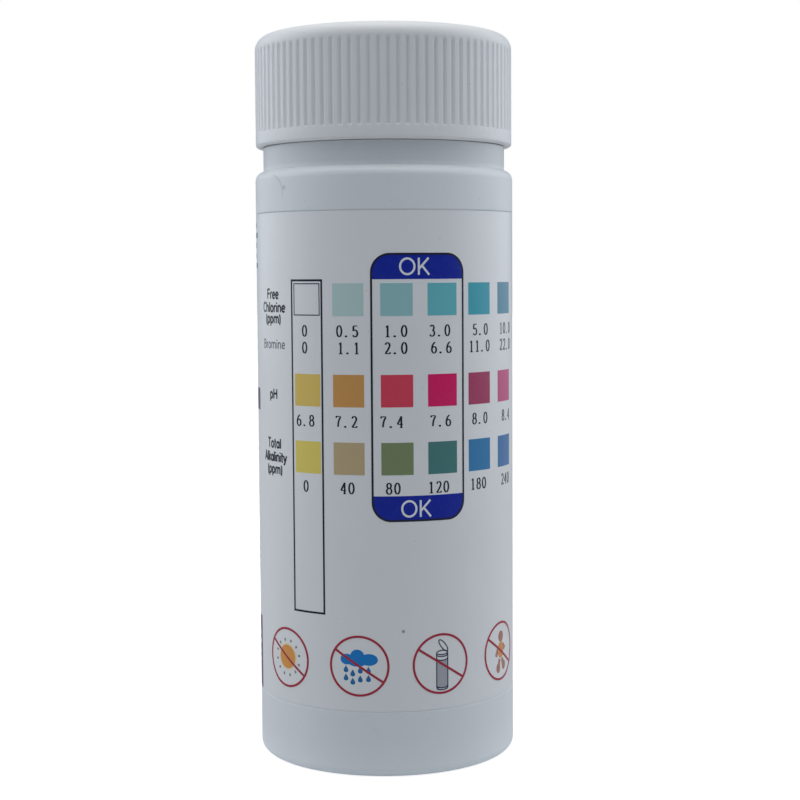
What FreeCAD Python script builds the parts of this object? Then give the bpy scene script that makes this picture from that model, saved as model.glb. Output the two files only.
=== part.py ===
"""Test-strip kit for pool and spa water: a screw-capped plastic bottle that holds reagent strips and a desiccant.

Units are millimetres. The origin is the centre of the ring that the bottle stands on, +Z is up, and the
front of the label faces -Y. Every sub-part is written to parts/NODE.step in its closed, as-stored place.
"""
import FreeCAD
import Part

import math
import os

Vector = FreeCAD.Vector
UP = Vector(0, 0, 1)
CENTRE = Vector(0, 0, 0)

# ---- driving dimensions ------------------------------------------------------------------------------

BODY_R = 21.0              # outside of the bottle, above and below the label
WALL = 1.45                # thickness of the bottle's wall behind the label
SHOULDER_Z = 94.9          # where the shoulder meets the collar
RIM_Z = 114.15             # top of the bottle's rim
LABEL_Z = (10.5, 88.0)     # lower and upper edge of the label
LABEL_T = 0.1              # film and adhesive together
COLLAR_R = 19.65           # plain collar that shows between the shoulder and the cap
COLLAR_TOP_Z = 98.7        # just under the cap's skirt
COLLAR_EDGE = 0.15
NECK_R = 18.3              # outside of the neck between its threads
MOUTH_R = 16.8             # bore of the neck

THREAD_PITCH = 4.2         # one start, right-handed
THREAD_FLANK_GAP = 0.2     # along Z, between the two threads' loaded flanks
NECK_CREST_R = 19.2
CAP_CREST_R = 18.65

CAP_R = 20.84
CAP_Z = (98.8, 117.0)      # lower edge of the skirt, and the top
CAP_BORE_R = 19.5
CAP_ROOF_T = 1.55
RIB_COUNT = 88
RIB_Z = (100.9, 114.4)
RIB_DEPTH = 0.36           # of the grooves between the ribs
GROOVE_FLOOR = 0.3         # width of a groove's floor
GROOVE_FLARE = 0.4         # how much each side of a groove opens per mm of depth
LINER_R = 19.15
LINER_T = 1.2

STRIP_COUNT = 50
STRIP_SIZE = (0.3, 5.5, 82.0)       # thickness, width, length
PAD_SIZE = (0.5, 5.0, 5.0)          # thickness, width, length
PAD_FROM_TIP = {"chlorine_pads": 0.6, "ph_pads": 14.5, "alkalinity_pads": 25.0}

CANISTER_R = 6.8
CANISTER_H = 13.0
CANISTER_X = -9.4
BEAD_R = 1.3

# ---- what follows from them --------------------------------------------------------------------------

PANEL_R = BODY_R - 0.12             # the label lies in a shallow recess
INNER_R = PANEL_R - WALL
FLOOR_T = 1.4
PUSH_UP = 1.2                       # the middle of the base is raised, so that it stands on a ring
FLOOR_Z = PUSH_UP + FLOOR_T
CAP_ROOF_Z = CAP_Z[1] - CAP_ROOF_T
LINER_Z = (CAP_ROOF_Z - 0.05 - LINER_T, CAP_ROOF_Z - 0.05)
LOOSE = 0.1                         # gap under pieces that stand on the floor


# ---- helpers -----------------------------------------------------------------------------------------

def at(r, z):
    """A point of a turned profile, at radius r and height z."""
    return Vector(r, 0, z)


def line(a, b):
    return Part.LineSegment(a, b).toShape()


def corner_arc(start, end, centre):
    """A quarter arc from start to end about centre."""
    radius = (start - centre).Length
    middle = centre + ((start - centre) + (end - centre)).normalize() * radius
    return Part.Arc(start, middle, end).toShape()


def turned(edges):
    """The solid that a closed profile in the XZ plane sweeps about Z."""
    return Part.Face(Part.Wire(edges)).revolve(CENTRE, UP, 360)


def on_helix(radius, height, angle):
    return Vector(radius * math.cos(angle), radius * math.sin(angle), height)


def thread_ridge(root_r, crest_r, root_half, crest_half, start_z, start_turn, turns, fade_turns=0.14):
    """A right-handed ridge from root_r out to, or in to, crest_r, which sinks into its wall at both ends."""
    sections_per_turn = 20
    buried = 0.3                    # how far the ridge's root lies inside the wall
    faded_share = 0.4               # of that, where the ridge has faded out
    count = max(2, round(turns * sections_per_turn))
    sunk_r = root_r + (buried if crest_r < root_r else -buried)
    faded_r = root_r + (sunk_r - root_r) * faded_share
    sections = []
    for i in range(count + 1):
        turn = turns * i / count
        grown = min(1.0, turn / fade_turns, (turns - turn) / fade_turns)
        smooth = grown * grown * (3 - 2 * grown)
        top_r = faded_r + (crest_r - faded_r) * smooth
        angle = 2 * math.pi * (start_turn + turn)
        z = start_z + THREAD_PITCH * turn
        corners = [
            on_helix(sunk_r, z - root_half, angle),
            on_helix(top_r, z - crest_half, angle),
            on_helix(top_r, z + crest_half, angle),
            on_helix(sunk_r, z + root_half, angle),
        ]
        sections.append(Part.makePolygon(corners + corners[:1]))
    return Part.makeLoft(sections, True, False)


def cylinder_between(radius, low_z, high_z, x=0.0, y=0.0):
    return Part.makeCylinder(radius, high_z - low_z, Vector(x, y, low_z), UP)


# ---- bottle ------------------------------------------------------------------------------------------

NECK_THREAD_Z = 103.6       # middle of the ridge at its lower end
NECK_THREAD_TURNS = 2.05
NECK_ROOT_HALF = 1.0
NECK_CREST_HALF = 0.45


def bottle_shell():
    """The bottle's wall: raised base, label recess, rounded shoulder, collar, neck and rim."""
    stand_r = (16.6, 19.5)          # the ring that touches the table
    raised_r = 13.6                 # reach of the flat middle of the base outside, and inside
    floor_r = 15.6
    base_corner = BODY_R - stand_r[1]
    shoulder_r = 1.6
    shoulder_top = SHOULDER_Z + 0.02
    shoulder_c = at(BODY_R - shoulder_r, shoulder_top - shoulder_r)
    shoulder_end_z = shoulder_c.z + math.sqrt(shoulder_r ** 2 - (COLLAR_R - shoulder_c.x) ** 2)
    lean = math.atan2(shoulder_end_z - shoulder_c.z, COLLAR_R - shoulder_c.x) / 2
    shoulder_mid = at(shoulder_c.x + shoulder_r * math.cos(lean), shoulder_c.z + shoulder_r * math.sin(lean))
    edge = 0.45                     # radius of the rim's edges
    recess = (LABEL_Z[0] - 0.1, LABEL_Z[1] + 0.1)
    bevel = BODY_R - PANEL_R
    inner_corner = 1.8
    floor_low = FLOOR_T + 0.15      # the floor inside, over the ring that the bottle stands on
    bend_z = (91.4, 97.4)           # the wall inside bends in to the neck in an S between these heights
    bend_bow, bend_rise = 0.34, 1.3

    outside = [
        line(at(0, PUSH_UP), at(raised_r, PUSH_UP)),
        line(at(raised_r, PUSH_UP), at(stand_r[0], 0)),
        line(at(stand_r[0], 0), at(stand_r[1], 0)),
        corner_arc(at(stand_r[1], 0), at(BODY_R, base_corner), at(stand_r[1], base_corner)),
        line(at(BODY_R, base_corner), at(BODY_R, recess[0] - bevel)),
        line(at(BODY_R, recess[0] - bevel), at(PANEL_R, recess[0])),
        line(at(PANEL_R, recess[0]), at(PANEL_R, recess[1])),
        line(at(PANEL_R, recess[1]), at(BODY_R, recess[1] + bevel)),
        line(at(BODY_R, recess[1] + bevel), at(BODY_R, shoulder_c.z)),
        Part.Arc(at(BODY_R, shoulder_c.z), shoulder_mid, at(COLLAR_R, shoulder_end_z)).toShape(),
        line(at(COLLAR_R, shoulder_end_z), at(COLLAR_R, COLLAR_TOP_Z - COLLAR_EDGE)),
        corner_arc(at(COLLAR_R, COLLAR_TOP_Z - COLLAR_EDGE), at(COLLAR_R - COLLAR_EDGE, COLLAR_TOP_Z),
                   at(COLLAR_R - COLLAR_EDGE, COLLAR_TOP_Z - COLLAR_EDGE)),
        line(at(COLLAR_R - COLLAR_EDGE, COLLAR_TOP_Z), at(NECK_R, COLLAR_TOP_Z)),
        line(at(NECK_R, COLLAR_TOP_Z), at(NECK_R, RIM_Z - edge)),
        corner_arc(at(NECK_R, RIM_Z - edge), at(NECK_R - edge, RIM_Z), at(NECK_R - edge, RIM_Z - edge)),
        line(at(NECK_R - edge, RIM_Z), at(MOUTH_R + edge, RIM_Z)),
        corner_arc(at(MOUTH_R + edge, RIM_Z), at(MOUTH_R, RIM_Z - edge), at(MOUTH_R + edge, RIM_Z - edge)),
    ]
    neck_foot = at(MOUTH_R, bend_z[1])
    wall_top = at(INNER_R, bend_z[0])
    bend_mid = (neck_foot + wall_top) * 0.5
    inside = [
        line(at(MOUTH_R, RIM_Z - edge), neck_foot),
        Part.Arc(neck_foot, at(MOUTH_R + bend_bow, bend_mid.z + bend_rise), bend_mid).toShape(),
        Part.Arc(bend_mid, at(INNER_R - bend_bow, bend_mid.z - bend_rise), wall_top).toShape(),
        line(wall_top, at(INNER_R, floor_low + inner_corner)),
        corner_arc(at(INNER_R, floor_low + inner_corner), at(INNER_R - inner_corner, floor_low),
                   at(INNER_R - inner_corner, floor_low + inner_corner)),
        line(at(INNER_R - inner_corner, floor_low), at(floor_r, FLOOR_Z)),
        line(at(floor_r, FLOOR_Z), at(0, FLOOR_Z)),
        line(at(0, FLOOR_Z), at(0, PUSH_UP)),
    ]
    return turned(outside + inside)


def bottle():
    ridge = thread_ridge(NECK_R, NECK_CREST_R, NECK_ROOT_HALF, NECK_CREST_HALF,
                         NECK_THREAD_Z, 0.0, NECK_THREAD_TURNS)
    return bottle_shell().fuse(ridge)


# ---- label -------------------------------------------------------------------------------------------

LABEL_SEAM_DEG = 128.0      # from +X towards +Y: at the back, and left of the middle seen from the front
LABEL_OVERLAP = 4.0
LABEL_RAMP = 1.2            # length over which the film climbs on to its own start
LABEL_GAP = 0.02            # between the two layers there
LABEL_BOND = 0.005          # between the film and the bottle


def label():
    """One film wound a little over one turn: the last few millimetres lie on the film's own start."""
    low_r = PANEL_R + LABEL_BOND
    high_r = low_r + LABEL_T
    seam = math.radians(LABEL_SEAM_DEG)
    lap = LABEL_OVERLAP / BODY_R
    ramp = LABEL_RAMP / BODY_R
    lifted_r = high_r + LABEL_GAP

    def polar(radius, angle):
        return Vector(radius * math.cos(angle), radius * math.sin(angle), 0)

    def around(radius, start, end):
        return Part.Arc(polar(radius, start), polar(radius, (start + end) / 2), polar(radius, end)).toShape()

    turn = 2 * math.pi
    start, end = seam, seam + turn - ramp - LABEL_GAP / BODY_R
    edges = [
        around(low_r, start, start + math.pi),
        around(low_r, start + math.pi, end),
        line(polar(low_r, end), polar(lifted_r, end + ramp)),
        around(lifted_r, end + ramp, end + ramp + lap),
        line(polar(lifted_r, end + ramp + lap), polar(lifted_r + LABEL_T, end + ramp + lap)),
        around(lifted_r + LABEL_T, end + ramp + lap, end + ramp),
        line(polar(lifted_r + LABEL_T, end + ramp), polar(high_r, end)),
        around(high_r, end, start + math.pi),
        around(high_r, start + math.pi, start),
        line(polar(high_r, start), polar(low_r, start)),
    ]
    flat = Part.Face(Part.Wire(edges))
    flat.translate(Vector(0, 0, LABEL_Z[0]))
    return flat.extrude(Vector(0, 0, LABEL_Z[1] - LABEL_Z[0]))


# ---- cap ---------------------------------------------------------------------------------------------

CAP_ROOT_HALF = 0.95
CAP_CREST_HALF = 0.45
CAP_THREAD_TURNS = 1.6
LINER_BEAD = 0.5            # the bead that keeps the liner in stands this far in from the bore


def cap_shell():
    """Skirt and crowned roof, with a bead inside the skirt that the liner snaps past."""
    corner = 2.3
    crown = 0.35            # the top is part of a large sphere, and this much higher in the middle
    crown_r = ((CAP_R - corner) ** 2 + crown ** 2) / (2 * crown)
    crown_half = math.asin((CAP_R - corner) / crown_r) / 2
    crown_mid = at(crown_r * math.sin(crown_half), CAP_Z[1] - crown_r + crown_r * math.cos(crown_half))
    foot = 0.45             # radius of the skirt's lower outer edge
    bead_half = 0.3         # height of the bead's upper half, and of its lower half
    bead_z = LINER_Z[0] - 0.15 - bead_half
    outside = [
        line(at(CAP_BORE_R, CAP_Z[0]), at(CAP_R - foot, CAP_Z[0])),
        corner_arc(at(CAP_R - foot, CAP_Z[0]), at(CAP_R, CAP_Z[0] + foot), at(CAP_R - foot, CAP_Z[0] + foot)),
        line(at(CAP_R, CAP_Z[0] + foot), at(CAP_R, CAP_Z[1] - crown - corner)),
        corner_arc(at(CAP_R, CAP_Z[1] - crown - corner), at(CAP_R - corner, CAP_Z[1] - crown),
                   at(CAP_R - corner, CAP_Z[1] - crown - corner)),
        Part.Arc(at(CAP_R - corner, CAP_Z[1] - crown), crown_mid, at(0, CAP_Z[1])).toShape(),
    ]
    inside = [
        line(at(0, CAP_Z[1]), at(0, CAP_ROOF_Z)),
        line(at(0, CAP_ROOF_Z), at(CAP_BORE_R, CAP_ROOF_Z)),
        line(at(CAP_BORE_R, CAP_ROOF_Z), at(CAP_BORE_R, bead_z + bead_half)),
        Part.Arc(at(CAP_BORE_R, bead_z + bead_half), at(CAP_BORE_R - LINER_BEAD, bead_z),
                 at(CAP_BORE_R, bead_z - bead_half)).toShape(),
        line(at(CAP_BORE_R, bead_z - bead_half), at(CAP_BORE_R, CAP_Z[0])),
    ]
    return turned(outside + inside)


def groove_cutters():
    """One tapered cutter for each groove between two ribs. The groove's floor rises to nothing at its top."""
    floor_r = CAP_R - RIB_DEPTH
    outer_r = CAP_R + 0.3   # the cutters reach this far out
    end_r = CAP_R + 0.02
    runout = 0.55           # height over which a groove's top fades out
    grooves = []
    for i in range(RIB_COUNT):
        angle = 360.0 * (i + 0.5) / RIB_COUNT
        sections = []
        for z, inner_r in ((RIB_Z[0], floor_r), (RIB_Z[1] - runout, floor_r), (RIB_Z[1], end_r)):
            inner_half = GROOVE_FLOOR / 2 + GROOVE_FLARE * (inner_r - floor_r)
            outer_half = GROOVE_FLOOR / 2 + GROOVE_FLARE * (outer_r - floor_r)
            corners = [
                Vector(inner_r, -inner_half, z),
                Vector(outer_r, -outer_half, z),
                Vector(outer_r, outer_half, z),
                Vector(inner_r, inner_half, z),
            ]
            sections.append(Part.makePolygon(corners + corners[:1]))
        groove = Part.makeLoft(sections, True, True)
        groove.rotate(CENTRE, UP, angle)
        grooves.append(groove)
    return Part.makeCompound(grooves)


def flank_offset():
    """How far under the neck's ridge the cap's ridge lies, so that their flanks stand THREAD_FLANK_GAP apart."""
    neck_slope = (NECK_ROOT_HALF - NECK_CREST_HALF) / (NECK_CREST_R - NECK_R)
    cap_slope = (CAP_ROOT_HALF - CAP_CREST_HALF) / (CAP_BORE_R - CAP_CREST_R)
    at_cap_crest = NECK_ROOT_HALF - neck_slope * (CAP_CREST_R - NECK_R) + CAP_CREST_HALF
    at_neck_crest = NECK_CREST_HALF + CAP_CREST_HALF + cap_slope * (NECK_CREST_R - CAP_CREST_R)
    return max(at_cap_crest, at_neck_crest) + THREAD_FLANK_GAP


def cap():
    first_turn = 0.25
    start_z = NECK_THREAD_Z + THREAD_PITCH * first_turn - flank_offset()
    ridge = thread_ridge(CAP_BORE_R, CAP_CREST_R, CAP_ROOT_HALF, CAP_CREST_HALF,
                         start_z, first_turn, CAP_THREAD_TURNS)
    return cap_shell().cut(groove_cutters()).fuse(ridge)


def cap_liner():
    """Foam disc that seals on the rim."""
    edge = 0.12
    disc = cylinder_between(LINER_R, LINER_Z[0], LINER_Z[1])
    return disc.makeChamfer(edge, disc.Edges[:1])


# ---- desiccant ---------------------------------------------------------------------------------------

CANISTER_WALL = 0.8
CANISTER_FOOT = 0.6         # radius of its lower edge
CANISTER_Z = (FLOOR_Z + LOOSE, FLOOR_Z + LOOSE + CANISTER_H)
LID_T = 1.0
LID_EDGE = 0.35
LID_PLUG = 1.6              # how far the plug ring reaches down
LID_PLUG_WALL = 0.7
LID_PLUG_FIT = 0.03
LID_HOLE_R = 0.45
LID_HOLE_PITCH = 2.0
LID_HOLE_REACH = 4.1
BEAD_GAP = 0.05             # round every bead


def canister_cup():
    inner_r = CANISTER_R - CANISTER_WALL
    cup = cylinder_between(CANISTER_R, *CANISTER_Z, x=CANISTER_X)
    foot_edge = [e for e in cup.Edges if e.BoundBox.ZMax < CANISTER_Z[0] + 0.01 and e.Length > CANISTER_R]
    cup = cup.makeFillet(CANISTER_FOOT, foot_edge)
    hollow = cylinder_between(inner_r, CANISTER_Z[0] + CANISTER_WALL, CANISTER_Z[1], x=CANISTER_X)
    return cup.cut(hollow)


def hex_places(pitch, reach, shift=(0.0, 0.0)):
    """Points of a triangular grid of that pitch, at most reach from the middle."""
    rows = int(reach / pitch) + 2
    found = []
    for j in range(-rows, rows + 1):
        for i in range(-rows, rows + 1):
            x = (i + j / 2) * pitch + shift[0]
            y = j * pitch * math.sqrt(3) / 2 + shift[1]
            if math.hypot(x, y) <= reach:
                found.append((x, y))
    return found


def canister_lid():
    """Snap lid with a plug ring, pierced so that the air reaches the beads."""
    plug_r = CANISTER_R - CANISTER_WALL - LID_PLUG_FIT
    top = CANISTER_Z[1] + LID_T
    lid = cylinder_between(CANISTER_R, CANISTER_Z[1], top, x=CANISTER_X)
    rim_edge = [e for e in lid.Edges if e.BoundBox.ZMin > top - 0.01 and e.Length > CANISTER_R]
    lid = lid.makeFillet(LID_EDGE, rim_edge)
    plug_z = (CANISTER_Z[1] - LID_PLUG, CANISTER_Z[1])
    plug = cylinder_between(plug_r, *plug_z, x=CANISTER_X)
    plug = plug.cut(cylinder_between(plug_r - LID_PLUG_WALL, *plug_z, x=CANISTER_X))
    lid = lid.fuse(plug)
    holes = [cylinder_between(LID_HOLE_R, CANISTER_Z[1] - 1, top + 1, x=CANISTER_X + x, y=y)
             for x, y in hex_places(LID_HOLE_PITCH, LID_HOLE_REACH)]
    return lid.cut(Part.makeCompound(holes))


def desiccant_beads():
    """Silica gel beads, packed in layers that nest in one another."""
    pitch = 2 * (BEAD_R + BEAD_GAP)
    layer_gap = pitch * math.sqrt(2 / 3)
    reach = CANISTER_R - CANISTER_WALL - BEAD_R - BEAD_GAP
    lowest = CANISTER_Z[0] + CANISTER_WALL + BEAD_R + BEAD_GAP
    layers = int((CANISTER_Z[1] - LID_PLUG - 2 * BEAD_R - CANISTER_Z[0] - CANISTER_WALL) / layer_gap) + 1
    beads = []
    for layer in range(layers):
        shift = (0.0, 0.0) if layer % 2 == 0 else (pitch / 2, pitch / (2 * math.sqrt(3)))
        for x, y in hex_places(pitch, reach, shift):
            centre = Vector(CANISTER_X + x, y, lowest + layer * layer_gap)
            beads.append(Part.makeSphere(BEAD_R, centre))
    return Part.makeCompound(beads)


# ---- test strips -------------------------------------------------------------------------------------

# Four stacks stand side by side. Each is (middle in Y, number of strips, feet from X, tops from X, tops to X).
STRIP_STACKS = (
    (-9.8, 12, -7.6, -9.4, 8.8),
    (-3.3, 13, -0.9, -0.9, 14.8),
    (3.3, 13, -0.7, -0.5, 15.0),
    (9.8, 12, -7.2, -8.6, 9.6),
)
FOOT_STEP = 0.96            # the padded ends lie almost against one another
TOP_STEP = 0.82             # least distance between two neighbours' tops
BUNCHING = 2.3              # radians from one gap to the next, in the wave that spreads the tops unevenly
STACK_PHASE = 1.7
STRIP_CORNER = 0.7


def stack_tops(count, first, last, phase):
    """Where a stack's tops stand: bunched here and spread there, but never closer than TOP_STEP."""
    weights = [(0.5 + 0.5 * math.sin(BUNCHING * i + phase)) ** 2 for i in range(count - 1)]
    spare = (last - first) - TOP_STEP * (count - 1)
    tops = [first]
    for weight in weights:
        tops.append(tops[-1] + TOP_STEP + spare * weight / sum(weights))
    return tops


def strip_places():
    """(foot X, middle Y, lean in degrees) of every strip."""
    places = []
    for stack, (y, count, foot, first_top, last_top) in enumerate(STRIP_STACKS):
        for i, top in enumerate(stack_tops(count, first_top, last_top, STACK_PHASE * stack)):
            foot_x = foot + FOOT_STEP * i
            places.append((foot_x, y, math.degrees(math.asin((top - foot_x) / STRIP_SIZE[2]))))
    return places


def put_in_stack(shape, place):
    foot_x, y, lean = place
    shape.rotate(CENTRE, Vector(0, 1, 0), lean)
    shape.translate(Vector(foot_x, y, FLOOR_Z + LOOSE))
    return shape


def strip_carrier(place):
    """Plastic strip with rounded corners, standing on its reagent end."""
    thick, width, length = STRIP_SIZE
    blank = Part.makeBox(thick, width, length, Vector(-thick / 2, -width / 2, 0))
    corners = [e for e in blank.Edges if abs(e.BoundBox.XLength - thick) < 0.01 and e.BoundBox.ZLength < 0.01]
    return put_in_stack(blank.makeFillet(STRIP_CORNER, corners), place)


def pad(place, from_tip):
    thick, width, length = PAD_SIZE
    blotter = Part.makeBox(thick, width, length, Vector(STRIP_SIZE[0] / 2, -width / 2, from_tip))
    return put_in_stack(blotter, place)


# ---- write every sub-part ----------------------------------------------------------------------------

def save(name, shape):
    if not shape.isValid() or not shape.Solids:
        raise RuntimeError(f"{name} is not a valid solid")
    shape.exportStep(f"parts/{name}.step")
    box = shape.BoundBox
    print(f"{name}: {len(shape.Solids)} solid(s), {shape.Volume:.1f} mm3, z {box.ZMin:.2f} to {box.ZMax:.2f}")


os.makedirs("parts", exist_ok=True)
save("bottle", bottle())
save("label", label())
save("cap", cap())
save("cap_liner", cap_liner())
save("desiccant_canister", canister_cup())
save("desiccant_lid", canister_lid())
save("desiccant_beads", desiccant_beads())
PLACES = strip_places()
if len(PLACES) != STRIP_COUNT:
    raise RuntimeError("the stacks don't hold STRIP_COUNT strips")
for number, place in enumerate(PLACES, start=1):
    save(f"strip_{number:02d}", strip_carrier(place))
for pad_name, tip_gap in PAD_FROM_TIP.items():
    save(pad_name, Part.makeCompound([pad(place, tip_gap) for place in PLACES]))
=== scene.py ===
import math
import bpy
import numpy as np
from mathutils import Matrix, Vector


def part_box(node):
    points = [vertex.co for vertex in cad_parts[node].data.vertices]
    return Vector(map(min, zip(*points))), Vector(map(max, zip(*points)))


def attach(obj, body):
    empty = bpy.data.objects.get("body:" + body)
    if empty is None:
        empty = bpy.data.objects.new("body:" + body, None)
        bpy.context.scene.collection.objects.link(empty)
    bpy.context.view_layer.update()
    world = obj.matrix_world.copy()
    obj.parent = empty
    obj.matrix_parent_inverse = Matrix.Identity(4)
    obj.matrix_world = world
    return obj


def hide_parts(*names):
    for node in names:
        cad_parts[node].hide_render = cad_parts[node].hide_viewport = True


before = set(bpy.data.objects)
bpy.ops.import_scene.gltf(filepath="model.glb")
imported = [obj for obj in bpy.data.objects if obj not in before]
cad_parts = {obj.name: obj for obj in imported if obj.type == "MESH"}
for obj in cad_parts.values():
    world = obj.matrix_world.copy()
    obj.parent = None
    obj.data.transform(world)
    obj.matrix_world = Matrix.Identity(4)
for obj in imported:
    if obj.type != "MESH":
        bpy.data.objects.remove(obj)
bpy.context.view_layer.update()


# ---- Bottle --------------------------------------------------------------------------------------------
# One-piece bottle of white polyethylene, with a raised base, a shallow panel for the label, a rounded
# shoulder and a plain collar under the cap. It is moulded in two halves, which leave a fine line up each
# side, and its neck carries a single right-handed thread. Radii and heights are in millimetres.

MM = 0.001
BODY_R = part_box("bottle")[1].x / MM
RIM_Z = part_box("bottle")[1].z / MM
PANEL_DEPTH = 0.12
PANEL_R = BODY_R - PANEL_DEPTH
WALL = 1.45
INNER_R = PANEL_R - WALL
LABEL_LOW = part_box("label")[0].z / MM
LABEL_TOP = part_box("label")[1].z / MM
RECESS_GAP = 0.04
STAND_R = (16.6, 19.5)
PUSH_UP = 1.2
PUSH_UP_R = 12.6
DIMPLE_R, DIMPLE_DEPTH = (0.9, 1.5), 0.25
BASE_STEP_R, BASE_STEP = (9.0, 9.4), 0.12
FLOOR_Z = 2.6
FLOOR_R = 15.4
HEEL_R, HEEL_Z = 1.8, 3.35
SHOULDER_R, SHOULDER_Z = 1.6, 94.92
SHOULDER_C = (BODY_R - SHOULDER_R, SHOULDER_Z - SHOULDER_R)
COLLAR_R, COLLAR_TOP = 19.65, 98.78
COLLAR_EDGE = 0.15
COLLAR_FILLET = 0.12
NECK_R, MOUTH_R = 18.3, 16.8
NECK_FILLET = 0.25
RIM_EDGE = 0.45
FUNNEL_Z = (97.4, 91.4)
THREAD_PITCH = 4.2
NECK_THREAD = {"start_z": 103.6, "start_turn": 0.0, "turns": 2.05,
               "root": 1.0, "crest": 0.45, "height": 0.9}


def arc(centre, radius, start, end, count):
    """Points of an arc of (radius, height), from one angle to another in degrees about its centre."""
    a = np.radians(np.linspace(start, end, count))
    return np.stack([centre[0] + radius * np.cos(a), centre[1] + radius * np.sin(a)], -1)


def line(a, b, count=2):
    """Evenly spaced points from a to b."""
    return np.linspace(a, b, count)


def easing(a, b, count):
    """Points from a to b whose second coordinate follows half a cosine wave."""
    t = np.linspace(0, 1, count)
    rise = 0.5 - 0.5 * np.cos(np.pi * t)
    return np.stack([a[0] + (b[0] - a[0]) * t, a[1] + (b[1] - a[1]) * rise], -1)


def smooth_step(x):
    """0 below 0, 1 above 1, and a smooth rise between them."""
    x = np.clip(x, 0, 1)
    return x * x * (3 - 2 * x)


def thread_height(angle, z, start_z, start_turn, turns, root, crest, height):
    """How far a thread's ridge stands out: full where a point is nearer than crest to the helix along Z,
    nothing beyond root, and faded out over a seventh of a turn at both ends."""
    turn = angle / (2 * np.pi)
    turn = turn + np.round((z - start_z) / THREAD_PITCH + start_turn - turn)
    off = np.abs(z - start_z - THREAD_PITCH * (turn - start_turn))
    done = turn - start_turn
    fade = smooth_step(np.minimum(done, turns - done) * 7)
    return height * fade * smooth_step((root - off) / (root - crest))


def ripple(angle, z):
    """The wall's slight unevenness: two low waves round and up it, which only sink it, by 0.04 at most."""
    return 0.012 * np.sin(2 * angle + 0.7 + z / 30) + 0.008 * np.sin(5 * angle - z / 17) - 0.02


def add_mesh(name, points, faces, material, smooth=True):
    """An object at the origin with these points, in metres, and faces."""
    mesh = bpy.data.meshes.new(name)
    mesh.from_pydata(points.reshape(-1, 3).tolist(), [], [list(map(int, f)) for f in faces])
    mesh.polygons.foreach_set("use_smooth", np.full(len(mesh.polygons), smooth))
    mesh.materials.append(material)
    mesh.update()
    piece = bpy.data.objects.new(name, mesh)
    bpy.context.scene.collection.objects.link(piece)
    return piece


def ring_faces(rows, columns):
    """Quads between neighbouring rings of a grid whose columns join up."""
    i, j = np.meshgrid(np.arange(rows - 1), np.arange(columns), indexing="ij")
    k = (j + 1) % columns
    quads = np.stack([i * columns + j, i * columns + k, (i + 1) * columns + k, (i + 1) * columns + j], -1)
    return quads.reshape(-1, 4).tolist()


def turned(name, profile, angles, material, relief):
    """A closed profile of (radius, height) carried round Z, from pole to pole, with relief(angle, radius,
    height) added to its radius. Each end closes on a point of the axis."""
    r, z = profile[:, :1], profile[:, 1:]
    radius = r + relief(angles[None, :], r, z)
    height = z + 0 * radius
    rings = np.stack([radius * np.cos(angles), radius * np.sin(angles), height], -1) * MM
    poles = np.array([[0, 0, profile[0, 1]], [0, 0, profile[-1, 1]]]) * MM
    rows, columns = radius.shape
    j = np.arange(columns)
    k = (j + 1) % columns
    first, last = rows * columns, rows * columns + 1
    top = (rows - 1) * columns
    faces = ring_faces(rows, columns)
    faces += np.stack([k, j, np.full(columns, first)], -1).tolist()
    faces += np.stack([top + j, top + k, np.full(columns, last)], -1).tolist()
    return add_mesh(name, np.vstack([rings.reshape(-1, 3), poles]), faces, material)


class Shade:
    """A shader node's output. Arithmetic on it adds Math nodes to its tree."""

    def __init__(self, tree, output):
        self.tree = tree
        self.output = output

    def node(self, kind, settings=None, inputs=None, output=0):
        """Adds a node: first its settings (a ramp's stops among them), then its sockets' values or links."""
        made = self.tree.nodes.new(kind)
        for key, value in (settings or {}).items():
            if key == "stops":
                ramp = made.color_ramp.elements
                for index, (position, colour) in enumerate(value):
                    stop = ramp[index] if index < len(ramp) else ramp.new(position)
                    stop.position = position
                    stop.color = (*colour, 1)
            else:
                setattr(made, key, value)
        for key, value in (inputs or {}).items():
            if isinstance(value, Shade):
                self.tree.links.new(value.output, made.inputs[key])
            else:
                made.inputs[key].default_value = value
        return Shade(self.tree, made.outputs[output])

    def math(self, operation, *values):
        return self.node("ShaderNodeMath", {"operation": operation}, dict(enumerate((self, *values))))

    def __add__(self, other):
        return self.math("ADD", other)

    __radd__ = __add__

    def __mul__(self, other):
        return self.math("MULTIPLY", other)

    __rmul__ = __mul__

    def __sub__(self, other):
        return self.math("SUBTRACT", other)

    def __rsub__(self, other):
        return (self * -1.0).math("ADD", other)

    def noise(self, scale, detail=2.0):
        """Noise at this position, with that many features per metre, from about 0.3 to 0.7."""
        return self.node("ShaderNodeTexNoise", {}, {"Vector": self, "Scale": scale, "Detail": detail})

    def band(self, low, high):
        """0 below low, 1 above high, and smooth between them. Low may be the larger of the two."""
        inputs = {"Value": self, "From Min": low, "From Max": high}
        return self.node("ShaderNodeMapRange", {"interpolation_type": "SMOOTHSTEP"}, inputs)

    def mix(self, low, high):
        """The colour low where this is 0, and high where it is 1."""
        colours = {6: low, 7: high}
        colours = {k: c if isinstance(c, Shade) else (*c, 1) for k, c in colours.items()}
        return self.node("ShaderNodeMix", {"data_type": "RGBA"}, {0: self, **colours}, output=2)

    def axis(self, name):
        return self.node("ShaderNodeSeparateXYZ", {}, {0: self}, output="XYZ".index(name))

    def bump(self, depth, strength=1.0):
        """A normal from this as a height, where 1 stands for depth in metres."""
        return self.node("ShaderNodeBump", {}, {"Height": self, "Strength": strength, "Distance": depth})


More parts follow.
